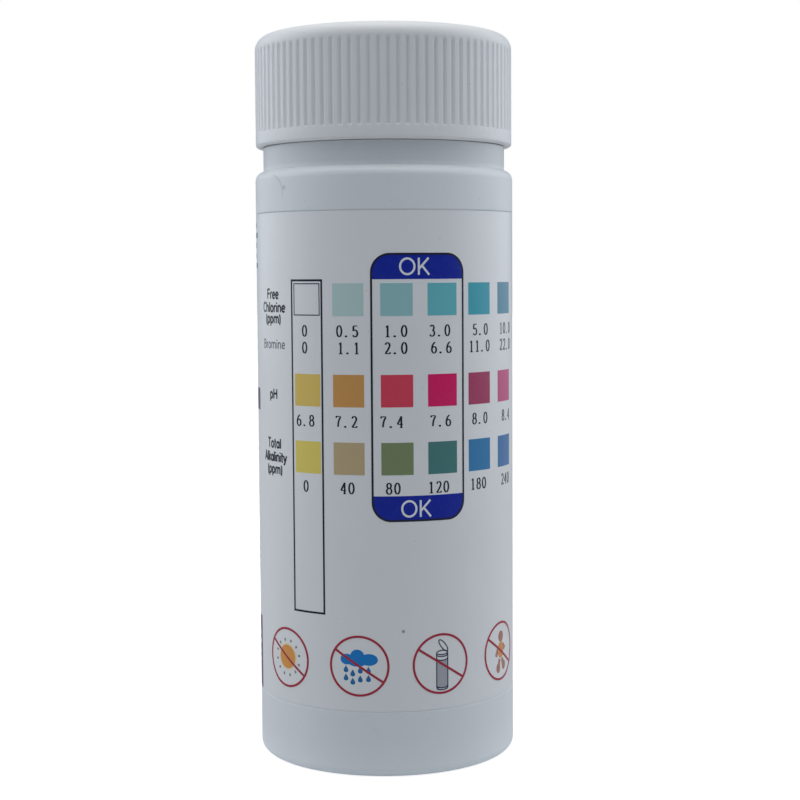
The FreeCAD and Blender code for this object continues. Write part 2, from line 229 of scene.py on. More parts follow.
def new_material(name, **constants):
    """A node material with these values on its shader, its shader, and its Object coordinates."""
    made = bpy.data.materials.new(name)
    made.use_nodes = True
    shader = made.node_tree.nodes["Principled BSDF"]
    for key, value in constants.items():
        shader.inputs[key.replace("_", " ")].default_value = value
    place = Shade(made.node_tree, made.node_tree.nodes.new("ShaderNodeTexCoord").outputs["Object"])
    return made, shader, place


def feed(shader, **shades):
    """Links what changes over the surface into the shader's sockets."""
    for key, shade in shades.items():
        shade.tree.links.new(shade.output, shader.inputs[key.replace("_", " ")])


def distance(place, spot):
    """How far in metres this position is from a spot in millimetres."""
    return place.node("ShaderNodeVectorMath", {"operation": "DISTANCE"},
                      {0: place, 1: [c * MM for c in spot]}, output=1)


def near(place, spot, radius):
    """1 about a spot, and 0 beyond a radius in millimetres from it."""
    return distance(place, spot).band(radius * MM, radius * MM * 0.4)


def moulded_plastic(name, colour, roughness, seam, scuffs_and_shade=0.0):
    """White moulded plastic: cloudy tone, specks of dust, satin grain and a mould line up each side. A
    scuffed one also has a fine curved scratch with a pit at its end, and painted shade that darkens its
    collar and neck above the shoulder, under the cap."""
    made, shader, place = new_material(
        name, IOR=1.5, Subsurface_Weight=0.12, Subsurface_Scale=0.0012, Subsurface_Radius=(1.0, 0.95, 0.9))
    cloudy = place.noise(55, 3)
    speck = place.noise(2600, 1).band(0.745, 0.80)
    tone = cloudy.band(0.35, 0.65).mix([c * 0.975 for c in colour], colour)
    scratch = (distance(place, SCUFF_MIDDLE) - SCUFF_R * MM).math("ABSOLUTE").band(0.0003, 0.0001)
    scratch = scratch * near(place, SCUFF_SPOT, 3.4) * 0.30 + near(place, SCUFF_END, 0.5) * 0.5
    # Painted shade: from the shoulder up, the collar and neck turn to a darker colour, where the cap shades
    # them.
    painted_collar_shade = place.axis("Z").band(COLLAR_FOOT * MM, (COLLAR_FOOT + 1) * MM) * scuffs_and_shade * 0.8
    seam_line = place.axis("Y").math("ABSOLUTE").band(0.00022, 0.00004) * seam
    grain = place.noise(5200, 2) * 0.35 + place.noise(420, 2) * 0.65
    feed(
        shader,
        Base_Color=(speck * 0.35 + scratch * scuffs_and_shade).mix(painted_collar_shade.mix(tone, NECK_SHADE_COLOUR), DUST_COLOUR),
        Roughness=cloudy * 0.10 + place.noise(700, 3) * 0.08 + (roughness - 0.09),
        Normal=(grain * 0.5 + seam_line).bump(0.00004, 0.6),
    )
    return made


BOTTLE_COLOUR = (0.795, 0.828, 0.862)
DUST_COLOUR = (0.42, 0.44, 0.46)
# The darker colour painted as shade on the collar and neck under the cap; COLLAR_FOOT is where it starts.
NECK_SHADE_COLOUR = (0.66, 0.69, 0.72)
COLLAR_FOOT = 94.9
SCUFF_MIDDLE, SCUFF_R = (-17.6, -11.5, 90.9), 2.9
SCUFF_SPOT, SCUFF_END = (-16.3, -13.2, 93.0), (-15.6, -14.1, 91.8)
bottle_plastic = moulded_plastic("bottle_polyethylene", BOTTLE_COLOUR, 0.42, seam=1.0, scuffs_and_shade=1.0)

fillet_reach = SHOULDER_R + COLLAR_FILLET
fillet_x = COLLAR_R + COLLAR_FILLET
fillet_z = SHOULDER_C[1] + math.sqrt(fillet_reach ** 2 - (fillet_x - SHOULDER_C[0]) ** 2)
shoulder_end = math.degrees(math.atan2(fillet_z - SHOULDER_C[1], fillet_x - SHOULDER_C[0]))
base_corner = BODY_R - STAND_R[1]
recess = (LABEL_LOW - RECESS_GAP, LABEL_TOP + RECESS_GAP)
step = BODY_R - PANEL_R
bottle_profile = np.vstack([
    easing((DIMPLE_R[0], PUSH_UP - DIMPLE_DEPTH), (DIMPLE_R[1], PUSH_UP), 5),
    easing((BASE_STEP_R[0], PUSH_UP), (BASE_STEP_R[1], PUSH_UP + BASE_STEP), 4),
    easing((PUSH_UP_R, PUSH_UP + BASE_STEP), (STAND_R[0] - 0.2, 0), 16),
    line((STAND_R[0], 0), (STAND_R[1] - 0.2, 0), 4),
    arc((STAND_R[1], base_corner), base_corner, -90, 0, 18),
    line((BODY_R, 2.5), (BODY_R, recess[0] - 2 * step), 7),
    easing((BODY_R, recess[0] - step), (PANEL_R, recess[0]), 4),
    line((PANEL_R, recess[0] + 1), (PANEL_R, recess[1] - 1), 24),
    easing((PANEL_R, recess[1]), (BODY_R, recess[1] + step), 4),
    line((BODY_R, recess[1] + 2 * step), (BODY_R, SHOULDER_C[1] - 0.2), 6),
    arc(SHOULDER_C, SHOULDER_R, 0, shoulder_end, 16),
    arc((fillet_x, fillet_z), COLLAR_FILLET, 180 + shoulder_end - 12, 180, 6),
    line((COLLAR_R, fillet_z + 0.3), (COLLAR_R, COLLAR_TOP - COLLAR_EDGE - 0.1), 4),
    arc((COLLAR_R - COLLAR_EDGE, COLLAR_TOP - COLLAR_EDGE), COLLAR_EDGE, 0, 90, 5),
    arc((NECK_R + NECK_FILLET, COLLAR_TOP + NECK_FILLET), NECK_FILLET, 270, 180, 5),
    line((NECK_R, COLLAR_TOP + 0.4), (NECK_R, RIM_Z - RIM_EDGE - 0.1), 116),
    arc((NECK_R - RIM_EDGE, RIM_Z - RIM_EDGE), RIM_EDGE, 0, 90, 7),
    arc((MOUTH_R + RIM_EDGE, RIM_Z - RIM_EDGE), RIM_EDGE, 90, 180, 7),
    line((MOUTH_R, RIM_Z - 1), (MOUTH_R, 98), 6),
    easing((MOUTH_R, FUNNEL_Z[0]), (INNER_R, FUNNEL_Z[1]), 14),
    line((INNER_R, 91), (INNER_R, 3.6), 10),
    arc((INNER_R - HEEL_R, HEEL_Z), HEEL_R, 0, -90, 9),
    easing((16.6, 1.6), (FLOOR_R, FLOOR_Z), 6),
    line((14, FLOOR_Z), (1, FLOOR_Z), 5),
])


def bottle_relief(angle, radius, z):
    """The unevenness of the outer wall, and the ridge of the thread on the neck."""
    neck = (np.abs(radius - NECK_R) < 0.01) & (z > COLLAR_TOP + 0.2)
    wall = (radius > INNER_R + 0.5) & (z > 3) & (z < 94)
    return ripple(angle, z) * wall + thread_height(angle, z, **NECK_THREAD) * neck


BOTTLE_COLUMNS = 288
around = np.radians(np.arange(0, 360, 360 / BOTTLE_COLUMNS))
bottle = turned("bottle_shell", bottle_profile, around, bottle_plastic, bottle_relief)
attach(bottle, "bottle")
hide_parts("bottle")


# ---- Label film ----------------------------------------------------------------------------------------
# White plastic film with a semi-gloss face, wound once round the panel from a start at the back, where its
# last few millimetres are stuck down over its own beginning. Its edges are cut square.

FILM_T = 0.1
FILM_BOND = 0.005
SEAM_ANGLE = math.radians(128)
LAP = 4.0 / BODY_R
LAP_RAMP = 1.2 / BODY_R
LAP_GAP = 0.02
FILM_WHITE = (0.835, 0.855, 0.88)
SPECK, SPECK_R, SPECK_COLOUR = (2.53, -20.83, 23.1), 0.34, (0.30, 0.29, 0.28)
FILM_STATIONS, FILM_ROWS = 460, 26


def film_low(wound, angle, z):
    """Radius of the film's underside, after it is wound through that angle: it climbs on to its own start."""
    climb = smooth_step((wound - (2 * np.pi - LAP_RAMP)) / LAP_RAMP)
    return PANEL_R + FILM_BOND + (FILM_T + LAP_GAP) * climb + ripple(angle, z)


def swept_faces(stations, corners, closed):
    """Faces of a tube whose corners join up, carried along its stations. It has flat ends, or its last
    station joins its first."""
    faces = ring_faces(stations, corners)
    j = np.arange(corners)
    k = (j + 1) % corners
    last = (stations - 1) * corners
    if closed:
        faces += np.stack([last + j, last + k, k, j], -1).tolist()
    else:
        faces += [j[::-1].tolist(), (last + j).tolist()]
    return faces


def film_material():
    """White film: barely cloudy, semi-gloss, with the orange peel of its varnish and a few dark specks."""
    made, shader, place = new_material("label_film", IOR=1.48, Coat_Roughness=0.22)
    cloudy = place.noise(40, 3)
    speck = place.noise(3100, 0).band(0.86, 0.88) * 0.3 + near(place, SPECK, SPECK_R)
    tone = cloudy.band(0.3, 0.7).mix([c * 0.975 for c in FILM_WHITE], FILM_WHITE)
    peel = place.noise(1500, 2)
    feed(
        shader,
        Base_Color=speck.mix(tone, SPECK_COLOUR),
        Roughness=cloudy * 0.08 + peel * 0.06 + 0.28,
        Coat_Weight=cloudy * 0.1 + 0.1,
        Normal=peel.bump(0.000012, 0.6),
    )
    return made


wound = np.linspace(0, 2 * np.pi + LAP, FILM_STATIONS)[:, None]
film_angle = SEAM_ANGLE + wound
film_z = np.linspace(LABEL_LOW, LABEL_TOP, FILM_ROWS)
section_z = np.concatenate([film_z, film_z[::-1]])[None, :]
section_t = np.concatenate([np.full(FILM_ROWS, FILM_T), np.zeros(FILM_ROWS)])[None, :]
film_r = film_low(wound, film_angle, section_z) + section_t
film_points = np.stack([film_r * np.cos(film_angle), film_r * np.sin(film_angle), section_z + 0 * film_r], -1)
film_faces = [f[::-1] for f in swept_faces(FILM_STATIONS, 2 * FILM_ROWS, closed=False)]
film = add_mesh("label_film", film_points * MM, film_faces, film_material())
film.data.set_sharp_from_angle(angle=math.radians(40))
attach(film, "bottle")
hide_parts("label")


# ---- Colour fields of the chart ------------------------------------------------------------------------
# Three rows of solid colour, printed on the film: what the chlorine, pH and alkalinity pads turn to. Each
# field is as large as a pad, so that a strip held against the chart can be compared with it. Places on the
# label are given as (millimetres round to the right of the chart's middle, millimetres below its top).

INK_T = 0.012
INK_SUNK = 0.03
FIELD = 5.0
COLUMN_LEFT = (-15.5, -8.28, -0.70, 6.66, 13.97, 21.34)
ROW_TOP = {"chlorine": 11.1, "ph": 25.1, "alkalinity": 35.55}
FIELD_COLOURS = {
    "chlorine": [None, (0.50, 0.68, 0.67), (0.31, 0.58, 0.61), (0.14, 0.51, 0.58), (0.05, 0.40, 0.51),
                 (0.10, 0.30, 0.43)],
    "ph": [(0.78, 0.57, 0.14), (0.66, 0.33, 0.10), (0.73, 0.06, 0.11), (0.72, 0.01, 0.14),
           (0.42, 0.05, 0.14), (0.62, 0.10, 0.26)],
    "alkalinity": [(0.82, 0.67, 0.15), (0.55, 0.43, 0.25), (0.22, 0.28, 0.14), (0.07, 0.22, 0.22),
                   (0.03, 0.22, 0.48), (0.06, 0.20, 0.46)],
}


def on_label(spot, lift):
    """Points in metres of spots on the label, lifted off the face of the film by so many millimetres."""
    angle = spot[..., 0] / BODY_R - np.pi / 2
    z = LABEL_TOP - spot[..., 1]
    r = PANEL_R + FILM_BOND + FILM_T + ripple(angle % (2 * np.pi), z) + lift
    return np.stack([r * np.cos(angle), r * np.sin(angle), z], -1) * MM


def dense(points, reach=0.5):
    """The same open outline with more points, none further than reach from the next."""
    points = np.asarray(points, float)
    lengths = np.linalg.norm(np.diff(points, axis=0), axis=1)
    counts = np.maximum(1, np.ceil(lengths / reach)).astype(int)
    parts = [np.linspace(a, b, n, endpoint=False) for a, b, n in zip(points[:-1], points[1:], counts)]
    return np.vstack([*parts, points[-1:]])


def printed(name, shapes, material, layer=1, colours=None):
    """Ink on the film: every shape is a pair of edges with as many points each, joined by a thin slab.
    A shape whose first and last points are one is a closed band. Layers lie one over another."""
    all_points, all_faces, all_colours, count = [], [], [], 0
    for index, (left, right) in enumerate(shapes):
        closed = bool(np.allclose(left[0], left[-1]) and np.allclose(right[0], right[-1]))
        if closed:
            left, right = left[:-1], right[:-1]
        along = np.gradient(left + right, axis=0)
        across = right - left
        if np.sum(along[:, 0] * across[:, 1] - along[:, 1] * across[:, 0]) < 0:
            left, right = right, left
        low, high = -INK_SUNK, INK_T * layer
        corners = [on_label(left, low), on_label(left, high), on_label(right, high), on_label(right, low)]
        points = np.stack(corners, 1)
        all_points.append(points.reshape(-1, 3))
        all_faces += [[count + v for v in f[::-1]] for f in swept_faces(len(left), 4, closed)]
        if colours:
            all_colours.append(np.tile((*colours[index], 1.0), (points.shape[0] * 4, 1)))
        count += points.shape[0] * 4
    piece = add_mesh(name, np.vstack(all_points), all_faces, material, smooth=False)
    if colours:
        piece.data.color_attributes.new("ink", "FLOAT_COLOR", "POINT")
        piece.data.attributes["ink"].data.foreach_set("color", np.vstack(all_colours).ravel())
    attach(piece, "bottle")
    return piece


def field(x, y, width, height):
    """A rectangle with its top left corner at x, y."""
    xs = np.linspace(x, x + width, max(2, int(width / 0.5)))
    return np.stack([xs, np.full_like(xs, y + height)], -1), np.stack([xs, np.full_like(xs, y)], -1)


def ink_finish(shader, place, colour):
    """Printed ink: a faint screen grain, pinholes where the film shows through, and varnish over it."""
    mottle = place.noise(1900, 2).band(0.3, 0.7) * 0.004 + place.noise(160, 2).band(0.3, 0.7) * 0.006
    pinholes = place.noise(5200, 0).band(0.80, 0.84) * 0.1
    feed(
        shader,
        Base_Color=(mottle + pinholes).mix(colour, FILM_WHITE),
        Roughness=place.noise(1500, 2) * 0.08 + 0.28,
        Normal=place.noise(1500, 2).bump(0.000012, 0.6),
    )


def ink(name, colour):
    """One printing ink of a single colour."""
    made, shader, place = new_material(name, Specular_IOR_Level=0.22)
    ink_finish(shader, place, colour)
    return made


def chart_inks():
    """The inks of the colour fields, each field's own colour held in the mesh."""
    made, shader, place = new_material("chart_inks", Specular_IOR_Level=0.22)
    own = place.node("ShaderNodeAttribute", {"attribute_name": "ink"})
    ink_finish(shader, place, own)
    return made


chart_ink = chart_inks()
for row, top in ROW_TOP.items():
    fields, colours = [], []
    for x, colour in zip(COLUMN_LEFT, FIELD_COLOURS[row]):
        if colour is not None:
            fields.append(field(x, top, FIELD, FIELD))
            colours.append(colour)
    printed(f"fields_{row}", fields, chart_ink, colours=colours)


# ---- Frames of the chart -------------------------------------------------------------------------------
# Thin black rules: one box as long as a strip, where the strip is laid, with an empty field for a pad that
# stays white, and one box with round corners about the two columns of good values, with blue ends.

RULE = 0.32
BLACK = (0.012, 0.014, 0.03)
STRIP_BOX = (-16.2, 10.45, -10.0, 62.6)
BLANK_FIELD, BLANK_RULE = (-15.6, 11.05, -10.5, 16.05), 0.16
SQUARE = 0.02
OK_BOX = (-2.24, 6.5, 13.0, 47.8)
OK_CORNER = 3.0
OK_BAND = 4.0
OK_BLUE = (0.002, 0.018, 0.36)


def ribbon(points, half):
    """A path's two edges, half a width off it to either side. Half may differ from point to point."""
    points = np.asarray(points, float)
    if np.allclose(points[0], points[-1]):
        ahead = np.vstack([points[1:], points[1:2]])
        behind = np.vstack([points[-2:-1], points[:-1]])
    else:
        ahead = np.vstack([points[1:], points[-1:]])
        behind = np.vstack([points[:1], points[:-1]])
    along = ahead - behind
    along /= np.linalg.norm(along, axis=1)[:, None]
    side = np.stack([-along[:, 1], along[:, 0]], -1) * np.reshape(half, (-1, 1))
    return points - side, points + side


def round_box(x0, y0, x1, y1, corner, inset=0.0):
    """The outline of a rectangle with rounded corners, from its lower left side and round to it again."""
    x0, y0, x1, y1 = x0 + inset, y0 + inset, x1 - inset, y1 - inset
    radius = max(corner - inset, SQUARE)
    centres = ((x0 + radius, y0 + radius, 180), (x1 - radius, y0 + radius, 270),
               (x1 - radius, y1 - radius, 0), (x0 + radius, y1 - radius, 90))
    path = np.vstack([arc((x, y), radius, start, start + 90, 10) for x, y, start in centres])
    return dense(np.vstack([path, path[:1]]))


def rule_box(x0, y0, x1, y1, corner, rule):
    """A closed rule of even width inside a rectangle."""
    outer = round_box(x0, y0, x1, y1, corner)
    inward = np.clip(outer, (x0 + rule, y0 + rule), (x1 - rule, y1 - rule))
    if corner > rule:
        return ribbon(round_box(x0, y0, x1, y1, corner, rule / 2), rule / 2)
    return outer, inward


def ok_end(y_side, y_tip):
    """A blue end of the box of good values: straight at y_side, and rounded at its corners at y_tip."""
    x0, x1 = OK_BOX[0], OK_BOX[2]
    turn = np.radians(np.linspace(0, 90, 12))
    left = x0 + OK_CORNER * (1 - np.cos(turn))
    level = np.linspace(x0 + OK_CORNER, x1 - OK_CORNER, 24)[1:-1]
    xs = np.concatenate([left, level, (x0 + x1 - left)[::-1]])
    inside = np.clip(np.minimum(xs - x0, x1 - xs), 0, OK_CORNER)
    rounded = OK_CORNER - np.sqrt(OK_CORNER ** 2 - (OK_CORNER - inside) ** 2)
    away = y_tip + np.sign(y_side - y_tip) * rounded
    return np.stack([xs, np.full_like(xs, y_side)], -1), np.stack([xs, away], -1)


black_ink = ink("black_ink", BLACK)
blue_ink = ink("blue_ink", OK_BLUE)
printed("strip_box", [rule_box(*STRIP_BOX, SQUARE, RULE)], black_ink)
printed("blank_field", [rule_box(*BLANK_FIELD, SQUARE, BLANK_RULE)], black_ink)
printed("good_values_box", [rule_box(*OK_BOX, OK_CORNER, RULE)], black_ink, layer=2)
ok_ends = [ok_end(OK_BOX[1] + OK_BAND, OK_BOX[1]), ok_end(OK_BOX[3] - OK_BAND, OK_BOX[3])]
printed("good_values_ends", ok_ends, blue_ink)


# ---- Numbers and captions of the chart -----------------------------------------------------------------
# The scale's numbers in a thin, evenly spaced face with fine cross strokes, and the captions of the rows
# in a plain upright face. A stroke is a path in units of the letter's height, from its lower left corner.

DIGIT_H, DIGIT_WIDE = 1.78, 1.05
DIGIT_CELL, DIGIT_MARGIN = 1.28, 0.06
DIGIT_PEN = (0.15, 0.29)


def bow(x, y, rx, ry, start, end, count=18):
    """An arc of an ellipse."""
    a = np.radians(np.linspace(start, end, count))
    return np.stack([x + rx * np.cos(a), y + ry * np.sin(a)], -1)


def bar(*xy):
    """Straight strokes from point to point."""
    return np.reshape(xy, (-1, 2)).astype(float)


DIGITS = {
    "0": [bow(.26, .5, .20, .47, 0, 360, 33)],
    "1": [bar(.12, .84, .18, .86, .275, .97), bar(.275, .99, .275, .02), bar(.12, .02, .43, .02)],
    "2": [bow(.26, .73, .175, .24, 165, -20), bar(.425, .65, .27, .32, .075, .035),
          bar(.06, .035, .45, .035, .475, .15)],
    "3": [bow(.24, .745, .16, .225, 155, -85), bow(.235, .275, .205, .255, 88, -155)],
    "4": [bar(.355, .97, .04, .29), bar(.04, .29, .49, .29), bar(.355, .99, .355, .02),
          bar(.24, .02, .46, .02)],
    "5": [bar(.12, .955, .45, .955), bar(.125, .955, .105, .53), bow(.245, .31, .205, .29, 128, -150)],
    "6": [bow(.27, .3, .195, .275, 0, 360, 29), bow(.45, .30, .375, .66, 100, 178)],
    "7": [bar(.07, .82, .075, .955, .47, .955), bow(.62, .05, .40, .92, 112, 180)],
    "8": [bow(.26, .745, .165, .22, 0, 360, 27), bow(.26, .275, .20, .255, 0, 360, 29)],
    ".": [bow(.165, .06, .035, .035, 0, 360, 13)],
}
LETTERS = {
    "A": (.62, [bar(.04, 0, .31, 1, .58, 0), bar(.13, .34, .49, .34)]),
    "B": (.58, [bar(.1, 0, .1, 1), bar(.1, .95, .28, .95), bow(.28, .74, .19, .21, 90, -90),
                bow(.28, .29, .22, .24, 90, -90), bar(.1, .53, .28, .53), bar(.1, .05, .28, .05)]),
    "C": (.62, [bow(.34, .5, .25, .45, 48, 312)]),
    "F": (.52, [bar(.1, 0, .1, 1), bar(.1, .95, .48, .95), bar(.1, .52, .44, .52)]),
    "H": (.64, [bar(.1, 0, .1, 1), bar(.54, 0, .54, 1), bar(.1, .52, .54, .52)]),
    "K": (.74, [bar(.11, 0, .11, 1), bar(.11, .34, .66, 1), bar(.28, .55, .69, 0)]),
    "O": (.98, [bow(.46, .5, .39, .46, 0, 360, 41)]),
    "T": (.54, [bar(.27, 0, .27, .95), bar(.03, .95, .51, .95)]),
    "a": (.52, [bow(.25, .35, .17, .30, 0, 360, 25), bar(.43, 0, .43, .7)]),
    "e": (.50, [bow(.27, .35, .18, .31, 8, 318), bar(.09, .36, .45, .36)]),
    "h": (.54, [bar(.1, 0, .1, 1), bow(.28, .42, .17, .24, 180, 0), bar(.45, .44, .45, 0)]),
    "i": (.22, [bar(.11, 0, .11, .68), bar(.11, .83, .11, .97)]),
    "k": (.48, [bar(.1, 0, .1, 1), bar(.1, .28, .43, .69), bar(.21, .42, .45, 0)]),
    "l": (.22, [bar(.11, 0, .11, 1)]),
    "m": (.82, [bar(.1, 0, .1, .69), bow(.255, .43, .155, .23, 180, 0), bar(.41, .44, .41, 0),
                bow(.565, .43, .155, .23, 180, 0), bar(.72, .44, .72, 0)]),
    "n": (.54, [bar(.1, 0, .1, .69), bow(.27, .43, .17, .23, 180, 0), bar(.44, .44, .44, 0)]),
    "o": (.54, [bow(.27, .35, .185, .31, 0, 360, 25)]),
    "p": (.54, [bar(.1, -.26, .1, .69), bow(.27, .35, .18, .30, 0, 360, 25)]),
    "r": (.34, [bar(.1, 0, .1, .69), bow(.29, .40, .19, .25, 175, 78)]),
    "t": (.34, [bar(.15, .12, .15, .93), bar(.03, .66, .30, .66), bow(.25, .14, .1, .1, 180, 280, 6)]),
    "y": (.48, [bar(.04, .69, .25, .04), bar(.46, .69, .20, -.12, .06, -.24)]),
    "(": (.28, [bow(.36, .38, .24, .68, 130, 230)]),
    ")": (.28, [bow(-.08, .38, .24, .68, -50, 50)]),
}


def pen(path, thin, thick):
    """A stroke's edges: thin where it runs level and thick where it runs upright, as a broad pen writes."""
    path = dense(path, 0.12)
    along = np.gradient(path, axis=0)
    steep = np.abs(along[:, 1]) / np.maximum(np.linalg.norm(along, axis=1), 1e-9)
    if np.allclose(path[0], path[-1]):
        steep[0] = steep[-1] = np.abs(path[1] - path[-2])[1] / np.linalg.norm(path[1] - path[-2])
    return ribbon(path, (thin + (thick - thin) * steep) / 2)


def placed(strokes, x, baseline, height, thin, thick, stretch=1.0):
    """Strokes of one letter, with its lower left corner at x and that depth."""
    scale = np.array([height * stretch, -height])
    return [pen(stroke * scale + (x, baseline), thin, thick) for stroke in strokes]


def number(text, centre, baseline):
    """A number of the scale, in even cells about its centre."""
    x = centre - DIGIT_CELL * len(text) / 2 + DIGIT_MARGIN
    shapes = []
    for index, digit in enumerate(text):
        shapes += placed(DIGITS[digit], x + DIGIT_CELL * index, baseline, DIGIT_H, *DIGIT_PEN, DIGIT_WIDE)
    return shapes


def caption(text, centre, baseline, height, weight, stretch=1.0):
    """A line of plain letters about its centre."""
    widths = [LETTERS[letter][0] * height * stretch for letter in text]
    x = centre - sum(widths) / 2
    shapes = []
    for letter, width in zip(text, widths):
        shapes += placed(LETTERS[letter][1], x, baseline, height, weight, weight, stretch)
        x += width
    return shapes


SCALES = (
    ("chlorine", 19.30, ("0", "0.5", "1.0", "3.0", "5.0", "10.0"), (-13.3, -5.8, 1.75, 8.8, 16.75, 24.6)),
    ("bromine", 21.90, ("0", "1.1", "2.0", "6.6", "11.0", "22.0"), (-13.3, -5.6, 1.75, 9.05, 16.6, 24.6)),
    ("ph", 33.22, ("6.8", "7.2", "7.4", "7.6", "8.0", "8.4"), (-13.35, -6.05, 1.05, 8.9, 16.6, 24.7)),
    ("alkalinity", 43.50, ("0", "40", "80", "120", "180", "240"), (-13.3, -5.95, 1.2, 8.5, 16.2, 24.4)),
)
for name, baseline, texts, centres in SCALES:
    shapes = [shape for text, centre in zip(texts, centres) for shape in number(text, centre, baseline)]
    printed(f"numbers_{name}", shapes, black_ink)

CAPTION_MIDDLE, CAPTION_H, CAPTION_PEN = -21.2, 1.55, 0.33
CAPTIONS = (("Free", 13.5, 1.3), ("Chlorine", 15.6, 1.32), ("(ppm)", 17.35, 1.3), ("pH", 29.3, 1.35),
            ("Total", 37.15, 1.28), ("Alkalinity", 39.3, 1.18), ("(ppm)", 41.25, 1.28))
lines = []
for text, baseline, stretch in CAPTIONS:
    lines += caption(text, CAPTION_MIDDLE, baseline, CAPTION_H, CAPTION_PEN, stretch)
printed("captions", lines, black_ink)
grey_ink = ink("grey_ink", (0.16, 0.17, 0.19))
printed("caption_bromine", caption("Bromine", CAPTION_MIDDLE, 21.35, 1.45, 0.21, 1.35), grey_ink)

white_ink = ink("white_ink", (0.80, 0.83, 0.87))
OK_MIDDLE = (OK_BOX[0] + OK_BOX[2]) / 2 - 0.75
OK_WORD = {"height": 2.6, "weight": 0.33, "stretch": 1.1}
ok_words = caption("OK", OK_MIDDLE, 9.86, **OK_WORD) + caption("OK", OK_MIDDLE + 0.1, 47.1, **OK_WORD)
printed("good_values_words", ok_words, white_ink, layer=2)


# ---- Storage signs -------------------------------------------------------------------------------------
# Four plain picture signs along the foot of the label, each in a thin red ring with a bar across it: keep
# out of the sun, keep dry, keep the tube shut and keep away from children.

SIGN_DEPTH = 70.35
SIGN_X = {"sun": -18.0, "rain": -4.45, "tube": 8.75, "child": 22.2}
SIGN_MIDDLE = {sign: (x, SIGN_DEPTH) for sign, x in SIGN_X.items()}
SIGN_R = 4.62
SIGN_RULE = 0.36
BAR_ANGLE = 33.0


def disc(x, up, rx, ry=None, count=25):
    """A filled ellipse, as its lower and upper halves."""
    t = np.linspace(np.pi, 0, count)
    ry = rx if ry is None else ry
    xs = x + rx * np.cos(t)
    return np.stack([xs, up - ry * np.sin(t) - 0.001], -1), np.stack([xs, up + ry * np.sin(t) + 0.001], -1)


def drawn_at(middle, shapes):
    """Shapes drawn about a middle with Y up, put in their place on the label."""
    flip = np.array([1, -1])
    return [(left * flip + middle, right * flip + middle) for left, right in shapes]


def drop(x, up, size):
    """A falling drop: round below and drawn to a point above, as its left and right sides."""
    t = np.linspace(0, 1, 15)
    half = size * 0.36 * np.sin(np.pi * t ** 0.62) * (1 - 0.25 * t)
    ys = up + size * (t - 0.5)
    return np.stack([x - half - 0.001, ys], -1), np.stack([x + half + 0.001, ys], -1)


def cloud(puffs, count=61):
    """The outline of overlapping ellipses (x, up, half width, half height), as its lower and upper edges."""
    x, y, rx, ry = np.array(puffs).T[:, :, None]
    xs = np.linspace((x - rx).min() + 0.001, (x + rx).max() - 0.001, count)
    half = ry * np.sqrt(np.maximum(1 - ((xs - x) / rx) ** 2, 0))
    inside = np.abs(xs - x) < rx
    low = np.where(inside, y - half, np.inf).min(0)
    high = np.where(inside, y + half, -np.inf).max(0)
    return np.stack([xs, low], -1), np.stack([xs, high], -1)


red_ink = ink("red_ink", (0.42, 0.03, 0.06))
ring = ribbon(bow(0, 0, SIGN_R, SIGN_R, 0, 360, 97), SIGN_RULE / 2)
reach = SIGN_R * np.array([-math.cos(math.radians(BAR_ANGLE)), math.sin(math.radians(BAR_ANGLE))])
crossing = ribbon(dense([reach, -reach]), SIGN_RULE / 2)
rings = [shape for middle in SIGN_MIDDLE.values() for shape in drawn_at(middle, [ring, crossing])]
printed("sign_rings", rings, red_ink, layer=3)

sun_ink = ink("sun_ink", (0.78, 0.34, 0.08))
halo_ink = ink("halo_ink", (0.86, 0.74, 0.50))
ray_ink = ink("ray_ink", (0.26, 0.25, 0.20))
SUN_UP, SUN_R, HALO_R = 0.1, 1.88, 2.15
RAYS, RAY_REACH, RAY_HALF = 12, (2.55, 2.8, 3.05), (0.07, 0.20, 0.16)
ray_turns = np.radians(np.arange(RAYS) * 360 / RAYS + 12)
rays = [ribbon(np.outer(RAY_REACH, (math.cos(a), math.sin(a))), RAY_HALF) for a in ray_turns]
printed("sign_sun_halo", drawn_at(SIGN_MIDDLE["sun"], [disc(0, SUN_UP, HALO_R)]), halo_ink)
printed("sign_sun_disc", drawn_at(SIGN_MIDDLE["sun"], [disc(0, SUN_UP, SUN_R)]), sun_ink, layer=2)
printed("sign_sun_rays", drawn_at(SIGN_MIDDLE["sun"], rays), ray_ink)

cloud_ink = ink("cloud_ink", (0.005, 0.21, 0.62))
drop_ink = ink("drop_ink", (0.02, 0.16, 0.42))
PUFFS = ((-1.95, 1.03, 1.05, 0.85), (-0.26, 1.6, 1.1, 1.0), (-0.3, 0.77, 1.6, 0.85), (1.6, 1.03, 1.4, 0.92))
DROPS = ((-2.1, (-0.5, -1.8)), (-1.0, (-1.1, -2.4)), (0.2, (-0.6, -2.0)), (1.5, (-0.6, -1.9)))
DROP_TALL = 1.15
drops = [drop(x, up, DROP_TALL) for x, ups in DROPS for up in ups]
printed("sign_rain_cloud", drawn_at(SIGN_MIDDLE["rain"], [cloud(PUFFS)]), cloud_ink)
printed("sign_rain_drops", drawn_at(SIGN_MIDDLE["rain"], drops), drop_ink)

